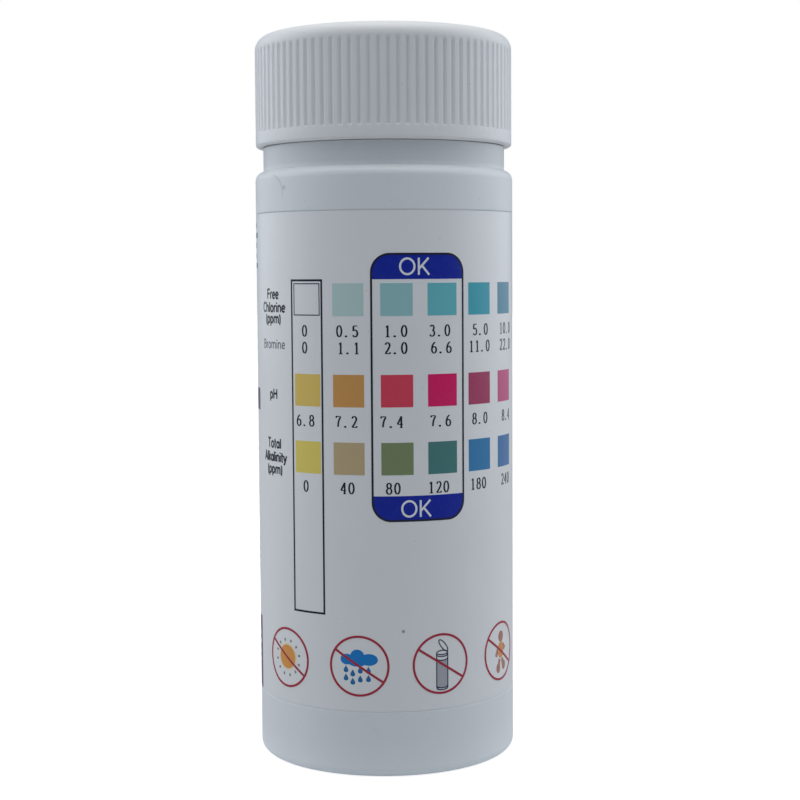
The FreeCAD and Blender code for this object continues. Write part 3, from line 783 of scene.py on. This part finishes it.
navy_ink = ink("navy_ink", (0.015, 0.022, 0.07))
tube_ink = ink("tube_ink", (0.42, 0.43, 0.48))
TUBE_X, TUBE_HALF, TUBE_LINE = 0.1, 0.96, 0.085
TUBE_TOP, TUBE_FOOT = 1.75, -3.75
TUBE_RIMS, TUBE_RIM_RY = ((1.75, 0), (1.45, 180), (0.85, 180), (-3.5, 180), (-3.8, 180)), 0.34
TUBE_LID, TUBE_LID_AT, TUBE_LID_TURN = (1.15, 0.40), (0.3, 2.85), math.radians(128)
tube_sides = [bar(x, TUBE_TOP, x, TUBE_FOOT) for x in (TUBE_X - TUBE_HALF, TUBE_X + TUBE_HALF)]
tube_rims = [bow(TUBE_X, up, TUBE_HALF, TUBE_RIM_RY, start, 360) for up, start in TUBE_RIMS]
lid_cos, lid_sin = math.cos(TUBE_LID_TURN), math.sin(TUBE_LID_TURN)
lid_axes = np.array([[lid_cos, lid_sin], [-lid_sin, lid_cos]])
tube_lid = bow(0, 0, *TUBE_LID, 0, 360, 33) @ lid_axes + TUBE_LID_AT
tube_lines = [ribbon(dense(path, 0.3), TUBE_LINE) for path in [*tube_sides, *tube_rims, tube_lid]]
tube_fill = field(TUBE_X - TUBE_HALF, -3.9, 2 * TUBE_HALF, 4.4)
printed("sign_tube_lines", drawn_at(SIGN_MIDDLE["tube"], tube_lines), navy_ink, layer=2)
printed("sign_tube_fill", drawn_at(SIGN_MIDDLE["tube"], [tube_fill]), tube_ink)

child_ink = ink("child_ink", (0.46, 0.22, 0.17))
shirt_ink = ink("shirt_ink", (0.76, 0.33, 0.12))
LIMB_HALF = 0.36
LIMBS = (bar(-0.75, 0.75, -1.55, -0.75), bar(0.75, 0.9, 1.6, 0.15), bar(-0.4, -1.3, -0.75, -3.2),
         bar(0.55, -1.3, 1.05, -2.9))
limbs = [ribbon(dense(path, 0.3), LIMB_HALF) for path in LIMBS]
feet = [disc(-0.8, -2.75, 0.62, 0.8), disc(1.15, -2.5, 0.62, 0.75)]
head, shirt = disc(0.05, 2.35, 0.85, 0.9), disc(0.05, 0.15, 1.0, 1.35)
printed("sign_child_body", drawn_at(SIGN_MIDDLE["child"], [head, *limbs, *feet]), child_ink)
printed("sign_child_shirt", drawn_at(SIGN_MIDDLE["child"], [shirt]), shirt_ink, layer=2)


# ---- Other panels --------------------------------------------------------------------------------------
# The rest of the film: steps of use to the left of the chart, and a drop over waves at the back. Printed by
# the same inks. Small print is only hinted at, in rows of bars as long as words.

STEPS_X = (-44.6, -30.2)
EDGE_X = -28.1
DIPPED_STRIP = (-38.2, 11.5, -36.4, 25.0)
DIPPED_PAD, DIPPED_PITCH = 1.2, 2.2
STEP_DEPTHS = (36.5, 45.5, 54.5)
STEP_DISC_X, STEP_DISC_R = -42.6, 1.65
STEP_WORDS_X = -40.2
NOTICE = (65.4, 12.0)
NOTICE_MARGIN = 0.9
BACK_X = (32.0, 76.0)
BACK_MIDDLE = 54.0
SWELL, SWELL_LENGTH = 0.9, 11.0
WAVE_BANDS = {"aqua": (3.4, (46.0, 52.6)), "teal": (3.0, (49.5, 56.1))}
DROP_PAD, DROP_PAD_DEPTHS = 2.7, (30.9, 26.9, 22.9)
BACK_WORDS_X, BACK_WORDS_WIDE = (33.0, 55.5), 19.5


def small_print(x0, x1, top, rows, pitch, height, seed):
    """Rows of bars as long as words, ragged at their right end."""
    words = np.random.default_rng(seed)
    shapes = []
    for row in range(rows):
        x, end = x0, x1 - words.uniform(0, 0.1) * (x1 - x0)
        while x < end - 0.5:
            length = min(words.uniform(0.9, 3.0), end - x)
            shapes.append(field(x, top + pitch * row, length, height))
            x += length + 0.45
    return shapes


def waves(x0, x1, top, height, swing, length):
    """A band with wavy edges."""
    xs = np.linspace(x0, x1, int((x1 - x0) / 0.45))
    crest = top + swing * np.sin(2 * np.pi * xs / length)
    return np.stack([xs, crest + height], -1), np.stack([xs, crest], -1)


def big_drop(radius, tall, count=49):
    """A drop, round below its middle and drawn up to a tip above, as its lower and upper edges."""
    xs = radius * np.sin(np.linspace(-np.pi / 2, np.pi / 2, count))
    off = np.abs(xs) / radius
    lower = -np.sqrt(radius ** 2 - xs ** 2) - 0.001
    upper = tall * (1 - off ** 0.75) + 0.9 * np.sqrt(radius ** 2 - xs ** 2) * off
    return np.stack([xs, lower], -1), np.stack([xs, upper + 0.001], -1)


teal_ink = ink("teal_ink", (0.02, 0.20, 0.24))
aqua_ink = ink("aqua_ink", (0.25, 0.60, 0.68))
purple_ink = ink("purple_ink", (0.07, 0.05, 0.18))
amber_ink = ink("amber_ink", (0.78, 0.55, 0.12))

printed("steps_heading", small_print(STEPS_X[0], EDGE_X, 1.3, 5, 1.62, 0.85, 4), teal_ink)
dipped_pads = [field(-37.9, 21.6 - DIPPED_PITCH * i, DIPPED_PAD, DIPPED_PAD) for i in range(3)]
dip_waves = [waves(-43.5, -31.0, 19.5 + 2.0 * i, 0.55, 0.35, 3.1) for i in range(3)]
printed("steps_strip", [rule_box(*DIPPED_STRIP, SQUARE, 0.14)], black_ink, layer=2)
printed("steps_strip_pads", dipped_pads, amber_ink, layer=3)
printed("steps_waves", dip_waves, aqua_ink)
printed("steps_bar", [field(STEPS_X[0], 28.0, EDGE_X + 0.5 - STEPS_X[0], 3.5)], purple_ink)
bar_words = small_print(STEPS_X[0] + 1, EDGE_X - 0.6, 29.35, 1, 1, 0.8, 9)
step_words, step_discs, step_digits = [], [], []
for seed, (digit, depth) in enumerate(zip("123", STEP_DEPTHS)):
    step_words += small_print(STEP_WORDS_X, STEPS_X[1], depth - 1.8, 4, 1.5, 0.7, seed)
    step_discs += drawn_at((STEP_DISC_X, depth), [disc(0, 0, STEP_DISC_R)])
    step_digits += placed(DIGITS[digit], STEP_DISC_X - 0.6, depth + 0.95, 1.9, 0.16, 0.26)
printed("steps_words", step_words, black_ink)
printed("steps_discs", step_discs, teal_ink)
printed("steps_white", bar_words + step_digits, white_ink, layer=2)
printed("notice_block", [field(STEPS_X[0], NOTICE[0], EDGE_X - STEPS_X[0], NOTICE[1])], purple_ink)
notice_words = small_print(STEPS_X[0] + NOTICE_MARGIN, EDGE_X - NOTICE_MARGIN, 66.6, 5, 1.5, 0.65, 21)
notice_box = field(STEPS_X[0] + NOTICE_MARGIN, 74.2, 9.0, 2.2)
printed("notice_words", [*notice_words, notice_box], white_ink, layer=2)

for name, wave_ink in (("aqua", aqua_ink), ("teal", teal_ink)):
    height, tops = WAVE_BANDS[name]
    bands = [waves(*BACK_X, top, height, SWELL, SWELL_LENGTH) for top in tops]
    printed(f"sea_{name}", bands, wave_ink)
printed("sea_drop", drawn_at((BACK_MIDDLE, 28.0), [big_drop(9.0, 19.0)]), aqua_ink)
printed("sea_drop_strip", [field(BACK_MIDDLE - 1.7, 17.0, 3.4, 18.0)], white_ink, layer=2)
drop_pads = [field(BACK_MIDDLE - DROP_PAD / 2, depth, DROP_PAD, DROP_PAD) for depth in DROP_PAD_DEPTHS]
drop_colours = [FIELD_COLOURS[row][3] for row in ("alkalinity", "ph", "chlorine")]
printed("sea_drop_pads", drop_pads, chart_ink, layer=3, colours=drop_colours)
back_words = []
for seed, x in enumerate(BACK_WORDS_X, 31):
    back_words += small_print(x, x + BACK_WORDS_WIDE, 64.5, 7, 1.65, 0.75, seed)
printed("back_words", back_words, black_ink)


# ---- Cap liner -----------------------------------------------------------------------------------------
# Disc of closed-cell foam that lies loose in the cap, held by a bead, and seals on the bottle's rim. Its
# skin shows the foam's small cells and the ring that the rim has pressed into it.

def liner_foam():
    """Closed-cell foam: fine cells in its skin, and a shallow ring as wide as the bottle's rim."""
    made, shader, place = new_material("liner_foam", IOR=1.45, Subsurface_Weight=0.2, Subsurface_Scale=0.001)
    cells = place.node("ShaderNodeTexVoronoi", {}, {"Vector": place, "Scale": 2600.0})
    level = place.node("ShaderNodeVectorMath", {"operation": "MULTIPLY"}, {0: place, 1: (1, 1, 0)})
    from_axis = place.node("ShaderNodeVectorMath", {"operation": "LENGTH"}, {0: level}, output=1)
    pressed = (from_axis - (MOUTH_R + NECK_R) / 2 * MM).math("ABSOLUTE").band(0.0009, 0.0006)
    feed(
        shader,
        Base_Color=(cells * 0.5).mix((0.90, 0.91, 0.92), (0.97, 0.97, 0.97)),
        Roughness=cells * 0.2 + 0.6 - pressed * 0.15,
        Normal=(cells * 0.6 - pressed).bump(0.00006, 0.7),
    )
    return made


def repaint(node, material):
    """Gives a CAD node its finish."""
    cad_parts[node].data.materials.clear()
    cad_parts[node].data.materials.append(material)


repaint("cap_liner", liner_foam())


# ---- Desiccant canister --------------------------------------------------------------------------------
# Small polyethylene cup that stands beside the strips, with a pierced snap lid through which the beads of
# orange silica gel keep the bottle's air dry.

def plain_plastic(name, colour, roughness):
    """Natural moulded plastic: faint flow marks, satin skin."""
    made, shader, place = new_material(name, IOR=1.5, Subsurface_Weight=0.1, Subsurface_Scale=0.001)
    flow = place.noise(260, 3)
    feed(
        shader,
        Base_Color=flow.band(0.3, 0.7).mix([c * 0.93 for c in colour], colour),
        Roughness=flow * 0.15 + (roughness - 0.07),
        Normal=(place.noise(3800, 2) * 0.6 + flow * 0.4).bump(0.00003, 0.5),
    )
    return made


def silica_gel():
    """Glassy beads: orange, a little clearer and paler from bead to bead."""
    made, shader, place = new_material("silica_gel", IOR=1.46, Transmission_Weight=0.35)
    tone = place.noise(520, 1).band(0.35, 0.65)
    feed(
        shader,
        Base_Color=tone.mix((0.86, 0.42, 0.10), (0.95, 0.66, 0.30)),
        Roughness=tone * 0.1 + 0.12,
        Normal=place.noise(4200, 1).bump(0.00002, 0.4),
    )
    return made


repaint("desiccant_canister", plain_plastic("canister_polyethylene", (0.86, 0.88, 0.88), 0.45))
repaint("desiccant_lid", plain_plastic("canister_lid_polyethylene", (0.20, 0.40, 0.68), 0.42))
repaint("desiccant_beads", silica_gel())


# ---- Test strips ---------------------------------------------------------------------------------------
# Fifty carriers cut from opaque white polyester film, each with three pads of blotting paper stuck near one
# end. The paper is soaked in a reagent and dried, which tints it before it meets any water.

def strip_film():
    """White polyester: glossy, with faint drawing lines along the strip."""
    made, shader, place = new_material("strip_polyester", IOR=1.57)
    drawn = place.node("ShaderNodeMapping", {}, {"Vector": place, "Scale": (1.0, 1.0, 0.04)}).noise(3000, 2)
    feed(
        shader,
        Base_Color=drawn.band(0.3, 0.7).mix((0.90, 0.90, 0.89), (0.95, 0.95, 0.94)),
        Roughness=drawn * 0.15 + 0.22,
        Normal=drawn.bump(0.00001, 0.5),
    )
    return made


def reagent_paper(name, colour):
    """Blotting paper: fibrous, matt, and unevenly tinted by the dried reagent."""
    made, shader, place = new_material(name, IOR=1.4)
    fibre = place.node("ShaderNodeTexVoronoi", {"feature": "SMOOTH_F1"}, {"Vector": place, "Scale": 3400.0})
    blot = place.noise(700, 3)
    feed(
        shader,
        Base_Color=blot.band(0.3, 0.7).mix([c * 0.85 for c in colour], colour),
        Roughness=fibre * 0.1 + 0.85,
        Normal=(fibre * 0.6 + blot * 0.4).bump(0.00006, 0.9),
    )
    return made


carrier = strip_film()
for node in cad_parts:
    if node.startswith("strip_"):
        repaint(node, carrier)
repaint("chlorine_pads", reagent_paper("chlorine_paper", (0.93, 0.92, 0.84)))
repaint("ph_pads", reagent_paper("ph_paper", (0.85, 0.58, 0.20)))
repaint("alkalinity_pads", reagent_paper("alkalinity_paper", (0.80, 0.74, 0.30)))


# ---- Screw cap -----------------------------------------------------------------------------------------
# Injection-moulded cap of white polypropylene. Its skirt is ribbed for grip down to a plain band, the ribs
# die out under the rounded upper edge, and the top is very slightly domed.

CAP_R = 20.84
CAP_Z = (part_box("cap")[0].z / MM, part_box("cap")[1].z / MM)
CAP_BORE_R = 19.5
CAP_ROOF_Z = CAP_Z[1] - 1.55
CAP_CORNER = 2.3
CROWN = 0.35
CAP_FOOT = 0.45
CAP_INNER_EDGE = 0.3
LINER_BEAD, BEAD_HALF = 0.5, 0.3
BEAD_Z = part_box("cap_liner")[0].z / MM - 0.45
RIBS = 88
RIB_Z = (100.9, 114.4)
RIB_DEPTH = 0.36
CAP_THREAD = {"start_z": 102.56, "start_turn": 0.25, "turns": 1.6,
              "root": 0.95, "crest": 0.45, "height": 0.85}
GROOVE_EDGES = (0.26, 0.42)
RIB_COLUMNS = (-0.5, -0.42, -0.37, -0.32, -0.26, 0, 0.26, 0.32, 0.37, 0.42)
CAP_COLOUR = (0.818, 0.837, 0.861)
GATE_Z = CAP_Z[1] - 0.14
GATE_R = (1.5, 1.2)


def cap_relief(angle, radius, z):
    """Grooves between the ribs outside, which sink smoothly to their floor and die out at both ends, and
    the ridge of the thread inside."""
    phase = np.abs((angle * RIBS / (2 * np.pi)) % 1 - 0.5)
    groove = smooth_step((0.5 - phase - GROOVE_EDGES[0]) / (GROOVE_EDGES[1] - GROOVE_EDGES[0]))
    groove = groove * smooth_step((z - RIB_Z[0]) / 0.25) * smooth_step((RIB_Z[1] + 0.1 - z) / 1.0)
    outside = radius > CAP_R - 1.5
    inside = (radius > CAP_BORE_R - 0.01) & (radius < CAP_BORE_R + 0.01)
    return -RIB_DEPTH * groove * outside - thread_height(angle, z, **CAP_THREAD) * inside


crown_r = ((CAP_R - CAP_CORNER) ** 2 + CROWN ** 2) / (2 * CROWN)
top_r = np.linspace(CAP_R - CAP_CORNER - 0.3, 1.7, 8)
crown = np.stack([top_r, CAP_Z[1] - crown_r + np.sqrt(crown_r ** 2 - top_r ** 2)], -1)
corner_c = (CAP_R - CAP_CORNER, CAP_Z[1] - CROWN - CAP_CORNER)
bead_turn = np.linspace(0, np.pi, 7)
bead_z = np.linspace(BEAD_Z + BEAD_HALF, BEAD_Z - BEAD_HALF, 7)
bead = np.stack([CAP_BORE_R - LINER_BEAD * np.sin(bead_turn), bead_z], -1)[1:-1]
cap_profile = np.vstack([
    line((0.6, CAP_ROOF_Z), (CAP_BORE_R - 0.4, CAP_ROOF_Z), 3),
    arc((CAP_BORE_R - CAP_INNER_EDGE, CAP_ROOF_Z - CAP_INNER_EDGE), CAP_INNER_EDGE, 90, 0, 4),
    line((CAP_BORE_R + 0.02, CAP_ROOF_Z - 0.5), (CAP_BORE_R + 0.02, BEAD_Z + 0.4), 2),
    bead,
    line((CAP_BORE_R, BEAD_Z - 0.4), (CAP_BORE_R, 101.0), 34),
    line((CAP_BORE_R, 100.2), (CAP_BORE_R, CAP_Z[0] + CAP_INNER_EDGE), 2),
    arc((CAP_BORE_R + CAP_INNER_EDGE, CAP_Z[0] + CAP_INNER_EDGE), CAP_INNER_EDGE, 180, 270, 5),
    arc((CAP_R - CAP_FOOT, CAP_Z[0] + CAP_FOOT), CAP_FOOT, 270, 360, 6),
    line((CAP_R, CAP_Z[0] + 0.7), (CAP_R, RIB_Z[0] - 0.02), 3),
    line((CAP_R, RIB_Z[0] + 0.06), (CAP_R, RIB_Z[0] + 0.25), 4),
    line((CAP_R, RIB_Z[0] + 1.0), (CAP_R, corner_c[1] - 1.3), 2),
    line((CAP_R, corner_c[1] - 1.05), (CAP_R, corner_c[1] - 0.05), 7),
    arc(corner_c, CAP_CORNER, 0, 90, 14),
    crown,
    easing((GATE_R[0], CAP_Z[1] - 0.01), (GATE_R[1], GATE_Z), 4),
    line((1.1, GATE_Z), (0.65, GATE_Z), 2),
    easing((0.6, GATE_Z), (0.35, CAP_Z[1] - 0.04), 4),
])
cap_angles = ((np.arange(RIBS)[:, None] + 0.5 + np.array(RIB_COLUMNS)) / RIBS * 2 * np.pi).ravel()
cap_plastic = moulded_plastic("cap_polypropylene", CAP_COLOUR, 0.40, seam=0.0)
cap = turned("cap_shell", cap_profile, cap_angles, cap_plastic, cap_relief)
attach(cap, "cap")
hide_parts("cap")


# ---- Studio --------------------------------------------------------------------------------------------
# A plain white table and a white room: soft light from above, behind and both sides, and a dimmer, cooler
# room in front, so that the round walls are brightest at their edges.

FRONT_LIGHT = (0.098, 0.138, 0.182)
SIDE_LIGHT = (1.70, 1.78, 1.90)
TOP_LIGHT = (1.02, 1.02, 1.01)
SOFTBOX_AT, SOFTBOX_AIM = (0.0, -0.05, 0.6), (0.0, 0.0, 0.06)
SOFTBOX_SIZE, SOFTBOX_POWER, SOFTBOX_COLOUR = 0.4, 0.7, (1.0, 0.99, 0.97)
TABLE_RINGS = (0.02, 0.3, 3.0)
TABLE_COLUMNS = 60
TABLE_GREY = 0.46
TABLE_PATCH = (23.0, 30.0)
PATCH_LIGHT = (0.19, 0.207, 0.23)


def studio_room():
    """A surround that lights the object: dim and cool before and behind it, bright above it and to either
    side, and brightest 20 degrees behind its sides."""
    world = bpy.data.worlds.new("studio_room")
    bpy.context.scene.world = world
    world.use_nodes = True
    tree = world.node_tree
    towards = Shade(tree, tree.nodes.new("ShaderNodeTexCoord").outputs["Generated"])
    beside = (towards.axis("X").math("ABSOLUTE") * 0.94 + towards.axis("Y") * 0.34).band(0.62, 1.0)
    above = towards.axis("Z").band(0.35, 0.95)
    glow = above.mix(beside.mix(FRONT_LIGHT, SIDE_LIGHT), TOP_LIGHT)
    seen = towards.node("ShaderNodeLightPath")
    colour = seen.mix(glow, (1.0, 1.0, 1.0))
    tree.links.new(colour.output, tree.nodes["Background"].inputs["Color"])


def studio_table():
    """A smooth pale top: it looks white to the camera, and throws only a little light back up, most of it
    from a painted glow, unseen by the camera, in the patch that the bottle stands on, which lights its base."""
    made, shader, place = new_material("table_white", Emission_Strength=1.0)
    cloudy = place.noise(6, 2)
    seen = place.node("ShaderNodeLightPath")
    # Painted glow: the patch under the bottle glows for every ray but the camera's, to light the base from
    # below.
    patch = distance(place, (0, 0, 0)).band(TABLE_PATCH[1] * MM, TABLE_PATCH[0] * MM)
    feed(
        shader,
        Base_Color=cloudy.mix([TABLE_GREY] * 3, [TABLE_GREY + 0.02] * 3),
        Roughness=cloudy * 0.1 + 0.7,
        Emission_Color=seen.mix(patch.mix((0, 0, 0), PATCH_LIGHT), (0.78, 0.78, 0.78)),
        Normal=place.noise(900, 2).bump(0.00002, 0.2),
    )
    turn = np.radians(np.arange(0, 360, 360 / TABLE_COLUMNS))
    reach = np.array(TABLE_RINGS)[:, None]
    rings = np.stack([reach * np.cos(turn), reach * np.sin(turn), 0 * reach + 0 * turn], -1)
    faces = [f[::-1] for f in ring_faces(len(TABLE_RINGS), TABLE_COLUMNS)] + [list(range(TABLE_COLUMNS))]
    table = add_mesh("table", rings, faces, made)


def softbox(name, spot, aim, size, power, colour):
    """A square area light at a spot, turned to what it aims at."""
    lamp = bpy.data.lights.new(name, "AREA")
    lamp.energy = power
    lamp.size = size
    lamp.color = colour
    held = bpy.data.objects.new(name, lamp)
    bpy.context.scene.collection.objects.link(held)
    held.location = spot
    held.rotation_mode = "QUATERNION"
    held.rotation_quaternion = Vector(np.subtract(aim, spot)).to_track_quat("-Z", "Y")


studio_room()
studio_table()
softbox("overhead_softbox", SOFTBOX_AT, SOFTBOX_AIM, SOFTBOX_SIZE, SOFTBOX_POWER, SOFTBOX_COLOUR)
bpy.context.scene.view_settings.view_transform = "Standard"


# ---- Camera --------------------------------------------------------------------------------------------
# In front of the chart, a little above the bottle's middle and tipped down by four degrees.

CAMERA_PLACE = (0.0, -0.2796, 0.07835)
CAMERA_DOWN = 0.0745
CAMERA_RIGHT = 0.0086
CAMERA_ROLL = -0.0064
CAMERA_LENS = 76.26


def camera():
    """A camera whose view turns right and down from +Y and then rolls about its own axis."""
    forward = np.array([math.sin(CAMERA_RIGHT) * math.cos(CAMERA_DOWN),
                        math.cos(CAMERA_RIGHT) * math.cos(CAMERA_DOWN), -math.sin(CAMERA_DOWN)])
    level = np.cross(forward, (0, 0, 1))
    level /= np.linalg.norm(level)
    upright = np.cross(level, forward)
    right = math.cos(CAMERA_ROLL) * level + math.sin(CAMERA_ROLL) * upright
    up = -math.sin(CAMERA_ROLL) * level + math.cos(CAMERA_ROLL) * upright
    lens = bpy.data.cameras.new("camera")
    lens.lens = CAMERA_LENS
    lens.sensor_width = 36
    lens.clip_start, lens.clip_end = 0.01, 20
    held = bpy.data.objects.new("camera", lens)
    bpy.context.scene.collection.objects.link(held)
    turn = Matrix(np.stack([right, up, -forward], 1).tolist()).to_4x4()
    held.matrix_world = Matrix.Translation(CAMERA_PLACE) @ turn
    bpy.context.scene.camera = held


camera()
